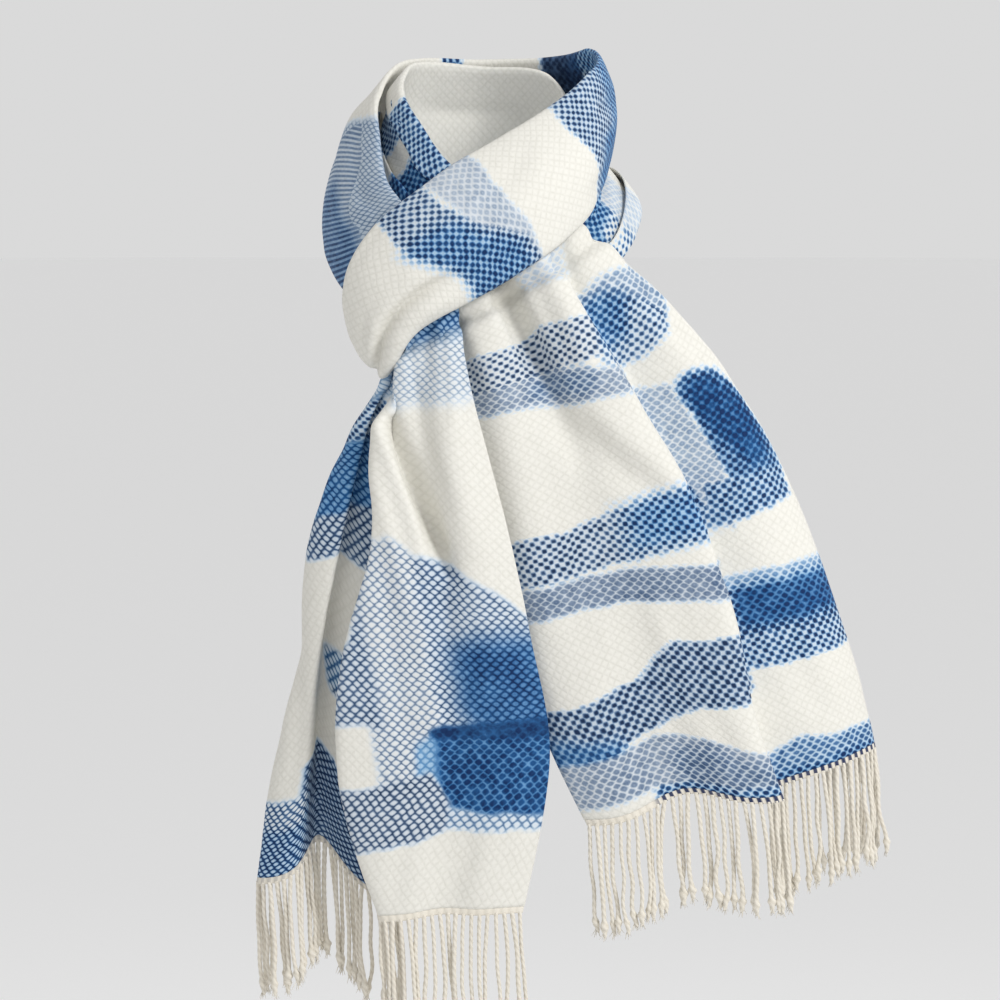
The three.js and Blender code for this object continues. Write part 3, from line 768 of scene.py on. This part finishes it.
OUTER_SLANTS = [
    (0, 0.6), (60, 0.72), (140, 0.6), (200, 0), (400, 0),
    (540, -0.42), (620, -0.30), (690, -0.36), (807, -0.30),
]
outer_turn, _ = weave_stretch(
    "outer_turn", "under_band", "turn_back", "middle", OUTER_CREASES, OUTER_DIPS, OUTER_SLANTS, seed=31)
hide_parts("left_outer", "back_outer", "front_band")

# The inner turn. Past the fold it runs behind both ends, over the right shoulder, round the nape
# inside the outer turn, down the left side of the throat and under the band.
INNER_CREASES = [
    # name, from (across, along), to, bow, depth, width; across is from the middle, along from the fold
    ("loop_pinch", (-4, 30), (6, 150), 3, 1.6, 6),
    ("shoulder_fold", (10, 150), (0, 262), -4, 1.8, 6),
    ("nape_inner", (-20, 300), (-12, 440), 4, 1.8, 7),
    ("throat_valley", (-16, 486), (-22, 636), 3, 4.0, 6),
    ("throat_side", (16, 500), (12, 600), -3, 1.8, 6),
]
INNER_DIPS = [
    # name, places across, lower edge, upper edge, edge, ends, dots, ground, fill, grey
    ("under_dots", (-99, 99), (24, 30), (62, 66), 4, 2, 1.0, 0.2, 0.5, 0.1),
    ("loop_blue", (-60, -14, 0, 16), (150, 154, 164, 172), (206, 203, 199, 190),
     7, 12, 0.95, 0.30, 0.52, 0.0),
    ("loop_dots", (0, 14, 40), (176, 176, 174), (206, 208, 206), 6, 9, 0.9, 0.04, 0.38, 0.4),
    ("loop_faint", (-30, 50), (200, 198), (238, 234), 10, 10, 0.30, 0.05, 0.74, 0.8),
    ("throat_dots", (-99, -28, -12, 8, 99), (536, 532, 515, 500, 488), (650, 650, 556, 552, 545),
     5, 2, 1.0, 0.24, 0.47, 0.3),
    ("throat_blue", (-18, -8, 25, 99), (584, 579, 576, 570), (650, 650, 650, 650),
     8, 6, 1.0, 0.46, 0.54, 0.0),
]
INNER_SLANTS = [(0, 0), (160, 0.4), (260, 0.3), (380, 0), (500, -0.5), (641, -0.5)]
inner_turn, _ = weave_stretch(
    "inner_turn", "turn_back", "inner_4", "middle", INNER_CREASES, INNER_DIPS, INNER_SLANTS, seed=51)
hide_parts("loop_under", "back_inner", "left_inner")

# The right end. It falls to the right in two broad steps from the band, its left edge hanging over
# the left end, and its far edge folded back behind it.
RIGHT_CREASES = [
    # name, from (across, along), to, bow, depth, width; across is from the left edge, along from the hem
    ("under_the_band", (-70, 372), (190, 412), 2, 7.0, 7),
    ("knot_valley", (20, 500), (68, 290), 2, 19.0, 9),
    ("knot_ridge", (66, 480), (98, 296), 2, -5.0, 10),
    ("valley_foot", (58, 340), (80, 226), 3, 2.6, 10),
    ("near_ridge", (-2, 470), (30, 296), 2, -4.0, 9),
    ("second_gather", (88, 450), (108, 342), -2, 2.0, 5),
    ("slant_hollow", (44, 312), (146, 200), 6, 4.5, 15),
    ("slant_ridge", (84, 300), (156, 204), 4, -2.4, 11),
    ("long_ridge", (22, 300), (30, 120), -5, -1.4, 12),
    ("middle_hollow", (40, 200), (46, 96), -4, 1.4, 13),
    ("hem_hollow", (122, 66), (128, 4), 2, 2.2, 11),
    ("hem_ridge", (78, 58), (70, 2), -2, -2.0, 10),
    ("low_ridge", (104, 150), (110, 70), 3, -1.6, 10),
    ("side_gather", (142, 392), (196, 296), 5, 2.4, 6),
    ("side_hollow", (214, 300), (240, 190), -4, 2.0, 9),
    ("side_wave", (216, 132), (222, 30), 4, 2.0, 12),
    ("side_hem", (248, 60), (246, 2), -2, 1.4, 8),
    ("step_soft", (160, 190), (162, 60), 3, 1.4, 6),
]
RIGHT_DIPS = [
    # name, places across, lower edge, upper edge, edge, ends, dots, ground, fill, grey
    ("knot_fade", (56, 68, 88, 98), (388, 388, 384, 384), (430, 430, 430, 430),
     8, 8, 0.26, 0.04, 0.66, 0.8),
    ("high_dots", (-9, 45, 62, 112, 120), (316, 316, 320, 324, 324), (346, 346, 355, 352, 352),
     3, 6, 1.0, 0.10, 0.39, 0.9),
    ("high_lattice", (-9, 45, 75, 132), (298, 296, 292, 294), (316, 317, 320, 308),
     6, 8, 0.56, 0.14, 0.78, 1.0),
    ("high_dark", (48, 66, 98), (300, 298, 300), (314, 318, 314), 11, 14, 0.72, 0.24, 0.72, 0.8),
    ("middle_dots", (-9, 60, 100, 125, 178), (163, 165, 172, 179, 184), (196, 199, 210, 216, 220),
     3, 5, 1.0, 0.16, 0.43, 0.8),
    ("middle_blue", (96, 120, 178), (174, 182, 186), (210, 216, 220), 18, 30, 1.0, 0.30, 0.46, 0.1),
    ("middle_lattice", (-9, 60, 110, 178), (138, 140, 140, 138), (161, 162, 165, 160),
     4, 5, 0.66, 0.22, 0.80, 1.0),
    ("low_dots", (-9, 40, 75, 90, 110, 178), (38, 40, 48, 56, 65, 68), (72, 76, 83, 95, 110, 112),
     3, 5, 1.0, 0.22, 0.48, 0.75),
    ("low_smear", (-12, 14, 36, 52), (33, 33, 34, 38), (56, 54, 50, 46), 14, 14, 0.88, 0.40, 0.52, 0.1),
    ("hem_lattice", (-9, 60, 80, 110, 150, 178), (8, 7, -9, -9, -9, -9), (37, 39, 43, 41, 28, 22),
     4, 4, 0.58, 0.16, 0.76, 1.0),
    ("hem_dark", (78, 110, 146), (4, 6, 4), (30, 36, 22), 12, 16, 0.76, 0.24, 0.76, 0.9),
    ("hem_line", (56, 90, 176), (-9, -9, -9), (5, 6, 6), 3, 8, 1.0, 0.2, 0.6, 0.2),
    ("patch", (104, 122, 150, 168), (318, 311, 314, 326), (364, 373, 373, 352),
     7, 8, 0.88, 0.12, 0.42, 0.6),
    ("patch_pale", (100, 122, 150, 166), (354, 358, 354, 340), (366, 375, 375, 354),
     7, 8, 0.50, 0.12, 0.76, 0.8),
    ("patch_rich", (106, 122, 140), (330, 326, 330), (362, 366, 360), 18, 12, 0.95, 0.32, 0.50, 0.1),
    ("side_pale", (138, 150, 165, 180, 196), (270, 262, 225, 196, 180), (293, 291, 288, 258, 226),
     5, 4, 0.48, 0.10, 0.76, 0.85),
    ("side_blue", (168, 180, 200, 220, 242), (286, 264, 214, 192, 208), (288, 294, 293, 270, 226),
     10, 9, 1.0, 0.36, 0.49, 0.25),
    ("side_rich", (176, 192, 216, 232), (278, 250, 222, 222), (290, 292, 272, 240),
     16, 14, 1.0, 0.62, 0.58, 0.0),
    ("side_foot", (180, 200, 244), (186, 186, 194), (214, 216, 216), 5, 5, 1.0, 0.22, 0.47, 0.35),
    ("side_band", (174, 330), (82, 82), (142, 142), 3, 4, 1.0, 0.18, 0.46, 0.4),
    ("side_band_top", (174, 330), (139, 139), (149, 149), 3, 4, 0.5, 0.16, 0.76, 0.4),
    ("side_band_rich", (184, 200, 330), (112, 110, 110), (140, 141, 141), 12, 9, 1.0, 0.62, 0.62, 0.0),
    ("side_hem", (174, 200, 230, 330), (-9, -9, -9, -9), (20, 26, 20, 14), 5, 4, 0.8, 0.24, 0.68, 0.35),
    ("side_hem_line", (176, 330), (-9, -9), (5, 5), 3, 4, 1.0, 0.3, 0.6, 0.1),
]
RIGHT_SLANTS = [(0, 0), (400, 0)]
tail_right, right_points = weave_stretch(
    "right_end", "inner_4", "right hem", "lower", RIGHT_CREASES, RIGHT_DIPS, RIGHT_SLANTS,
    seed=71, turned=True)
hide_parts("tail_right")

# The two fringes. At each hem the warp is drawn together in groups under a narrow stitched heading,
# and each group is twisted into a cord of two plies, knotted near its end and left to fray below.
HEADING_DEPTH = 0.0042
HEADING_GAP = 0.0003
HEADING_ROWS = 5
HEADING_STEP = 0.0007
HEADING_INSET = 0.0006
HEADING_THIN = 0.0007
GROUP_SWELL = 0.0011
INK_FROM_HEM = 1.5  # in millimetres, where the stitches read the ink of the cloth
CORD_PITCH = 0.0056
CORD_LENGTH = 0.079
CORD_ROOT = 0.0012
CORD_RADIUS = 0.0015
CORD_SIDES = 10
CORD_RINGS = 76
PLY_TURN = 0.0105
KNOT_PLACE = 0.90
KNOT_SIZE = 0.035
FRAYED_ENDS = 7
FRAYED_LENGTH = 0.008
FRAYED_RADIUS = 0.00055
FRAYED_SIDES = 3
FRAYED_RINGS = 5


def closed_tubes(centres, sides, reach):
    """Tubes about upright centre lines, each closed by a point at both ends.

    centres is tubes x rings x 3 and reach, tubes x rings x sides, the radius at each angle. A
    vertex is its centre plus reach times the cosine and sine of its angle.
    """
    tubes, rings = centres.shape[:2]
    angle = np.linspace(0, 2 * np.pi, sides, endpoint=False)
    around = np.stack([np.cos(angle), np.sin(angle), np.zeros(sides)], axis=-1)
    skin = centres[:, :, None] + around * reach[..., None]
    vertices = np.concatenate([skin.reshape(tubes, -1, 3), centres[:, :1], centres[:, -1:]], axis=1)
    step = rings * sides + 2
    ring = np.arange(rings - 1)[:, None] * sides
    side = np.arange(sides)
    ahead = (side + 1) % sides
    walls = np.stack([
        ring + side,
        ring + side + sides,
        ring + ahead + sides,
        ring + ahead,
    ], axis=-1).reshape(-1, 4)
    last = (rings - 1) * sides
    top = np.stack([np.full(sides, step - 2), side, ahead], axis=-1)
    bottom = np.stack([np.full(sides, step - 1), last + ahead, last + side], axis=-1)
    shift = (np.arange(tubes) * step)[:, None, None]
    quads = (walls[None] + shift).reshape(-1, 4)
    caps = (np.concatenate([top, bottom])[None] + shift).reshape(-1, 3)
    return vertices.reshape(-1, 3), quads.tolist() + caps.tolist()


def counted_on(faces, offset):
    """The same faces with their corners counted on from an offset."""
    return [[corner + offset for corner in face] for face in faces]


def fringe_cords(roots, lean, seed):
    """The cords below a heading, with each vertex's height on the ply: vertices, faces, ply.

    A cord's centre goes from its root straight to its tip, bowed sideways by half a sine wave and a
    slow ripple. Its radius swells with the two plies, as 0.86 + 0.20 |cos(angle - turn)|, and again
    in a bell at the knot. The frayed ends are thin tubes that splay from the knot as s to the 1.3.
    """
    chance = np.random.default_rng(seed)
    count = len(roots)
    t = np.linspace(0, 1, CORD_RINGS)
    length = CORD_LENGTH + chance.uniform(-0.003, 0.002, count)
    tip = np.stack([
        lean + chance.normal(0, 0.0022, count),
        chance.normal(0, 0.0016, count),
        -length,
    ], axis=-1)
    bow = chance.normal(0, 0.0016, (count, 1, 2))
    ripple = chance.normal(0, 0.0008, (count, 1, 2))
    phase = chance.uniform(0, 2 * np.pi, (count, 1, 1))
    along = t[None, :, None]
    centres = roots[:, None] + tip[:, None] * along
    centres[..., :2] += bow * np.sin(np.pi * along) + ripple * np.sin(4 * np.pi * along + phase) * along
    angle = np.linspace(0, 2 * np.pi, CORD_SIDES, endpoint=False)
    turn = 2 * np.pi * length[:, None, None] * along / PLY_TURN + phase
    ply = np.abs(np.cos(angle - turn))
    knot = np.exp(-(((along - KNOT_PLACE) / KNOT_SIZE) ** 2)) * chance.uniform(0.6, 1.05, (count, 1, 1))
    taper = np.clip((1.02 - along) / 0.05, 0.35, 1)
    weight = chance.uniform(0.88, 1.1, (count, 1, 1))
    reach = CORD_RADIUS * weight * (0.86 + 0.20 * ply) * (1 + knot) * taper
    vertices, faces = closed_tubes(centres, CORD_SIDES, reach)
    cord_ply = np.concatenate([ply.reshape(count, -1), np.ones((count, 2))], axis=1).ravel()

    hairs = count * FRAYED_ENDS
    start = np.repeat(centres[:, int(KNOT_PLACE * CORD_RINGS) + 2], FRAYED_ENDS, axis=0)
    splay = chance.normal(0, 0.0017, (hairs, 2))
    drop = FRAYED_LENGTH * chance.uniform(0.7, 1.1, hairs)
    s = np.linspace(0, 1, FRAYED_RINGS)[None, :, None]
    hair = start[:, None] + np.concatenate([splay[:, None] * s ** 1.3, -drop[:, None, None] * s], axis=-1)
    hair_reach = np.repeat(FRAYED_RADIUS * (1 - 0.7 * s), FRAYED_SIDES, axis=2) * np.ones((hairs, 1, 1))
    hair_vertices, hair_faces = closed_tubes(hair, FRAYED_SIDES, hair_reach)
    hair_ply = np.ones(len(hair_vertices))
    faces = faces + counted_on(hair_faces, len(vertices))
    return np.concatenate([vertices, hair_vertices]), faces, np.concatenate([cord_ply, hair_ply])


def fringe_cotton():
    """Undyed twisted cotton: cream, with painted shade between the plies and between the heading's groups,
    and indigo on the dyed stitches.
    """
    material = bpy.data.materials.new("fringe_cotton")
    material.use_nodes = True
    Value.tree = material.node_tree
    Value.tree.nodes.clear()
    ply = Value.node("ShaderNodeAttribute", {"attribute_name": "ply"}, output=2)
    ink = Value.node("ShaderNodeAttribute", {"attribute_name": "ink"}, output=2)
    place = Value.node("ShaderNodeTexCoord", output=3)
    slow = Value.node("ShaderNodeTexNoise", None, {"Vector": place, "Scale": 45.0, "Detail": 2.0})
    fine = Value.node("ShaderNodeTexNoise", None, {"Vector": place, "Scale": 1400.0, "Detail": 2.0})
    cream = mixed(slow, colour(226, 221, 211), colour(214, 207, 192))
    # Painted shade: the cream is darkened where the ply value is low, in the grooves between plies and
    # between the heading's groups.
    painted_ply_shade = mixed(ply, colour(202, 195, 181), cream)
    stitched = mixed(ink, painted_ply_shade, colour(22, 38, 76))
    relief = ply * 0.5 + fine * 0.5
    bump = Value.node("ShaderNodeBump", None, {"Strength": 0.5, "Distance": 0.0005, "Height": relief})
    shader = Value.node("ShaderNodeBsdfPrincipled", None, {
        "Base Color": stitched, "Roughness": 0.82 - ply * 0.14, "Normal": bump,
        "Sheen Weight": 0.3, "Sheen Roughness": 0.5, "Specular IOR Level": 0.3})
    Value.node("ShaderNodeOutputMaterial", None, {"Surface": shader})
    return material


FRINGE_COTTON = fringe_cotton()


def read_off(at, run, line):
    """The rows of a line at given lengths, between the lengths at which it is known."""
    return np.stack([np.interp(at, run, line[:, axis]) for axis in range(3)], axis=-1)


def fringe(name, hem, inside, hem_across, bands, lean, node, seed):
    """One fringe: the stitched heading that hangs from the hem's line, and its cords.

    The heading is a narrow shell that leaves the hem in the cloth's own direction and swells at each
    group of warp ends, as |sin(pi * place / pitch)|. Its stitches take the ink of the dots above, and
    between the groups its colour is darkened with painted shade for the gaps of the hemstitch.
    """
    away = unit(hem - inside)
    run = running_length(hem[None], 1)[0]
    columns = int(run[-1] / HEADING_STEP)
    at = np.linspace(HEADING_INSET, run[-1] - HEADING_INSET, columns)
    line = read_off(at, run, hem)
    down = unit(read_off(at, run, away))
    depth = np.linspace(HEADING_GAP, HEADING_GAP + HEADING_DEPTH, HEADING_ROWS)
    points = line[None] + down[None] * depth[:, None, None]
    groups = int(run[-1] / CORD_PITCH)
    pitch = run[-1] / groups
    bundle = np.abs(np.sin(np.pi * at / pitch))
    thickness = HEADING_THIN + GROUP_SWELL * bundle ** 0.7
    piece, source = cloth_shell(name, points, thickness)
    across = np.interp(at, run, hem_across)[None].repeat(HEADING_ROWS, axis=0)
    inks = dyed(across, np.full((HEADING_ROWS, columns), INK_FROM_HEM), bands, seed)
    stitch = (inks["dots"] * soft_step((bundle[None] - 0.66) / 0.25)).ravel()[source]
    # Lower between the groups: less relief there, and painted shade for the gaps of the hemstitch.
    bundle_relief_and_shade = (0.55 + 0.45 * bundle[None].repeat(HEADING_ROWS, axis=0)).ravel()[source]

    root_at = (np.arange(groups) + 0.5) * pitch
    roots = read_off(root_at, at, line + down * (HEADING_GAP + HEADING_DEPTH - CORD_ROOT))
    cord_vertices, cord_faces, ply = fringe_cords(roots, lean, seed)
    heading = piece.data
    vertices = np.empty(len(heading.vertices) * 3, np.float32)
    heading.vertices.foreach_get("co", vertices)
    vertices = vertices.reshape(-1, 3)
    faces = [list(face.vertices) for face in heading.polygons]
    faces += counted_on(cord_faces, len(vertices))
    mesh = bpy.data.meshes.new(name)
    mesh.from_pydata(np.concatenate([vertices, cord_vertices]), [], faces)
    mesh.polygons.foreach_set("use_smooth", np.ones(len(faces), bool))
    mesh.update()
    piece.data = mesh
    bpy.data.meshes.remove(heading)
    store(piece, "ply", np.concatenate([bundle_relief_and_shade, ply]))
    store(piece, "ink", np.concatenate([stitch, np.zeros(len(cord_vertices))]))
    piece.data.materials.append(FRINGE_COTTON)
    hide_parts(node)
    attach(piece, "root")
    return piece


left_hem_across = running_length(left_points[:1], 1)[0] / MM
right_run = running_length(right_points[-1:], 1)[0] / MM
fringe_left = fringe("fringe_of_left_end", left_points[0], left_points[2], left_hem_across,
                     LEFT_DIPS, 0.003, "fringe_left", seed=91)
fringe_right = fringe("fringe_of_right_end", right_points[-1], right_points[-3],
                      right_run[-1] - right_run, RIGHT_DIPS, 0.005, "fringe_right", seed=93)

# The studio: a wide pale floor well below the scarf, and large soft lights around it.
FLOOR_DEPTH = -1.45
FLOOR_RADIUS = 40
FLOOR_CORNERS = 64
floor_mesh = bpy.data.meshes.new("floor")
floor_angle = np.linspace(0, 2 * np.pi, FLOOR_CORNERS, endpoint=False)
floor_places = np.stack([
    FLOOR_RADIUS * np.cos(floor_angle),
    FLOOR_RADIUS * np.sin(floor_angle),
    np.full(FLOOR_CORNERS, FLOOR_DEPTH),
], axis=-1)
floor_mesh.from_pydata(floor_places, [], [list(range(FLOOR_CORNERS))])
floor = bpy.data.objects.new("floor", floor_mesh)
bpy.context.scene.collection.objects.link(floor)
floor_paint = bpy.data.materials.new("floor_paint")
floor_paint.use_nodes = True
floor_shader = floor_paint.node_tree.nodes["Principled BSDF"]
floor_shader.inputs["Base Color"].default_value = colour(252, 252, 252)
floor_shader.inputs["Roughness"].default_value = 0.9
floor_mesh.materials.append(floor_paint)

world = bpy.data.worlds.new("studio")
bpy.context.scene.world = world
world.use_nodes = True
studio_air = world.node_tree.nodes["Background"]
studio_air.inputs["Color"].default_value = (1.0, 1.0, 1.0, 1.0)
studio_air.inputs["Strength"].default_value = 0.70
LIGHTS = [
    # name, place, size, watts
    ("key", (1.8, -1.8, 1.4), 0.9, 55),
    ("fill", (-1.8, -2.0, 0.2), 1.8, 3),
    ("back", (0.4, 2.2, 1.4), 1.8, 12),
]
for light_name, place, size, watts in LIGHTS:
    lamp = bpy.data.lights.new(light_name, "AREA")
    lamp.size = size
    lamp.energy = watts
    light = bpy.data.objects.new(light_name, lamp)
    bpy.context.scene.collection.objects.link(light)
    light.location = place
    aim = np.array(CAMERA_TARGET) - np.array(place)
    tilt = math.atan2(math.hypot(aim[0], aim[1]), -aim[2])
    light.rotation_euler = (tilt, 0, math.atan2(-aim[0], aim[1]))
bpy.context.scene.view_settings.view_transform = "Standard"
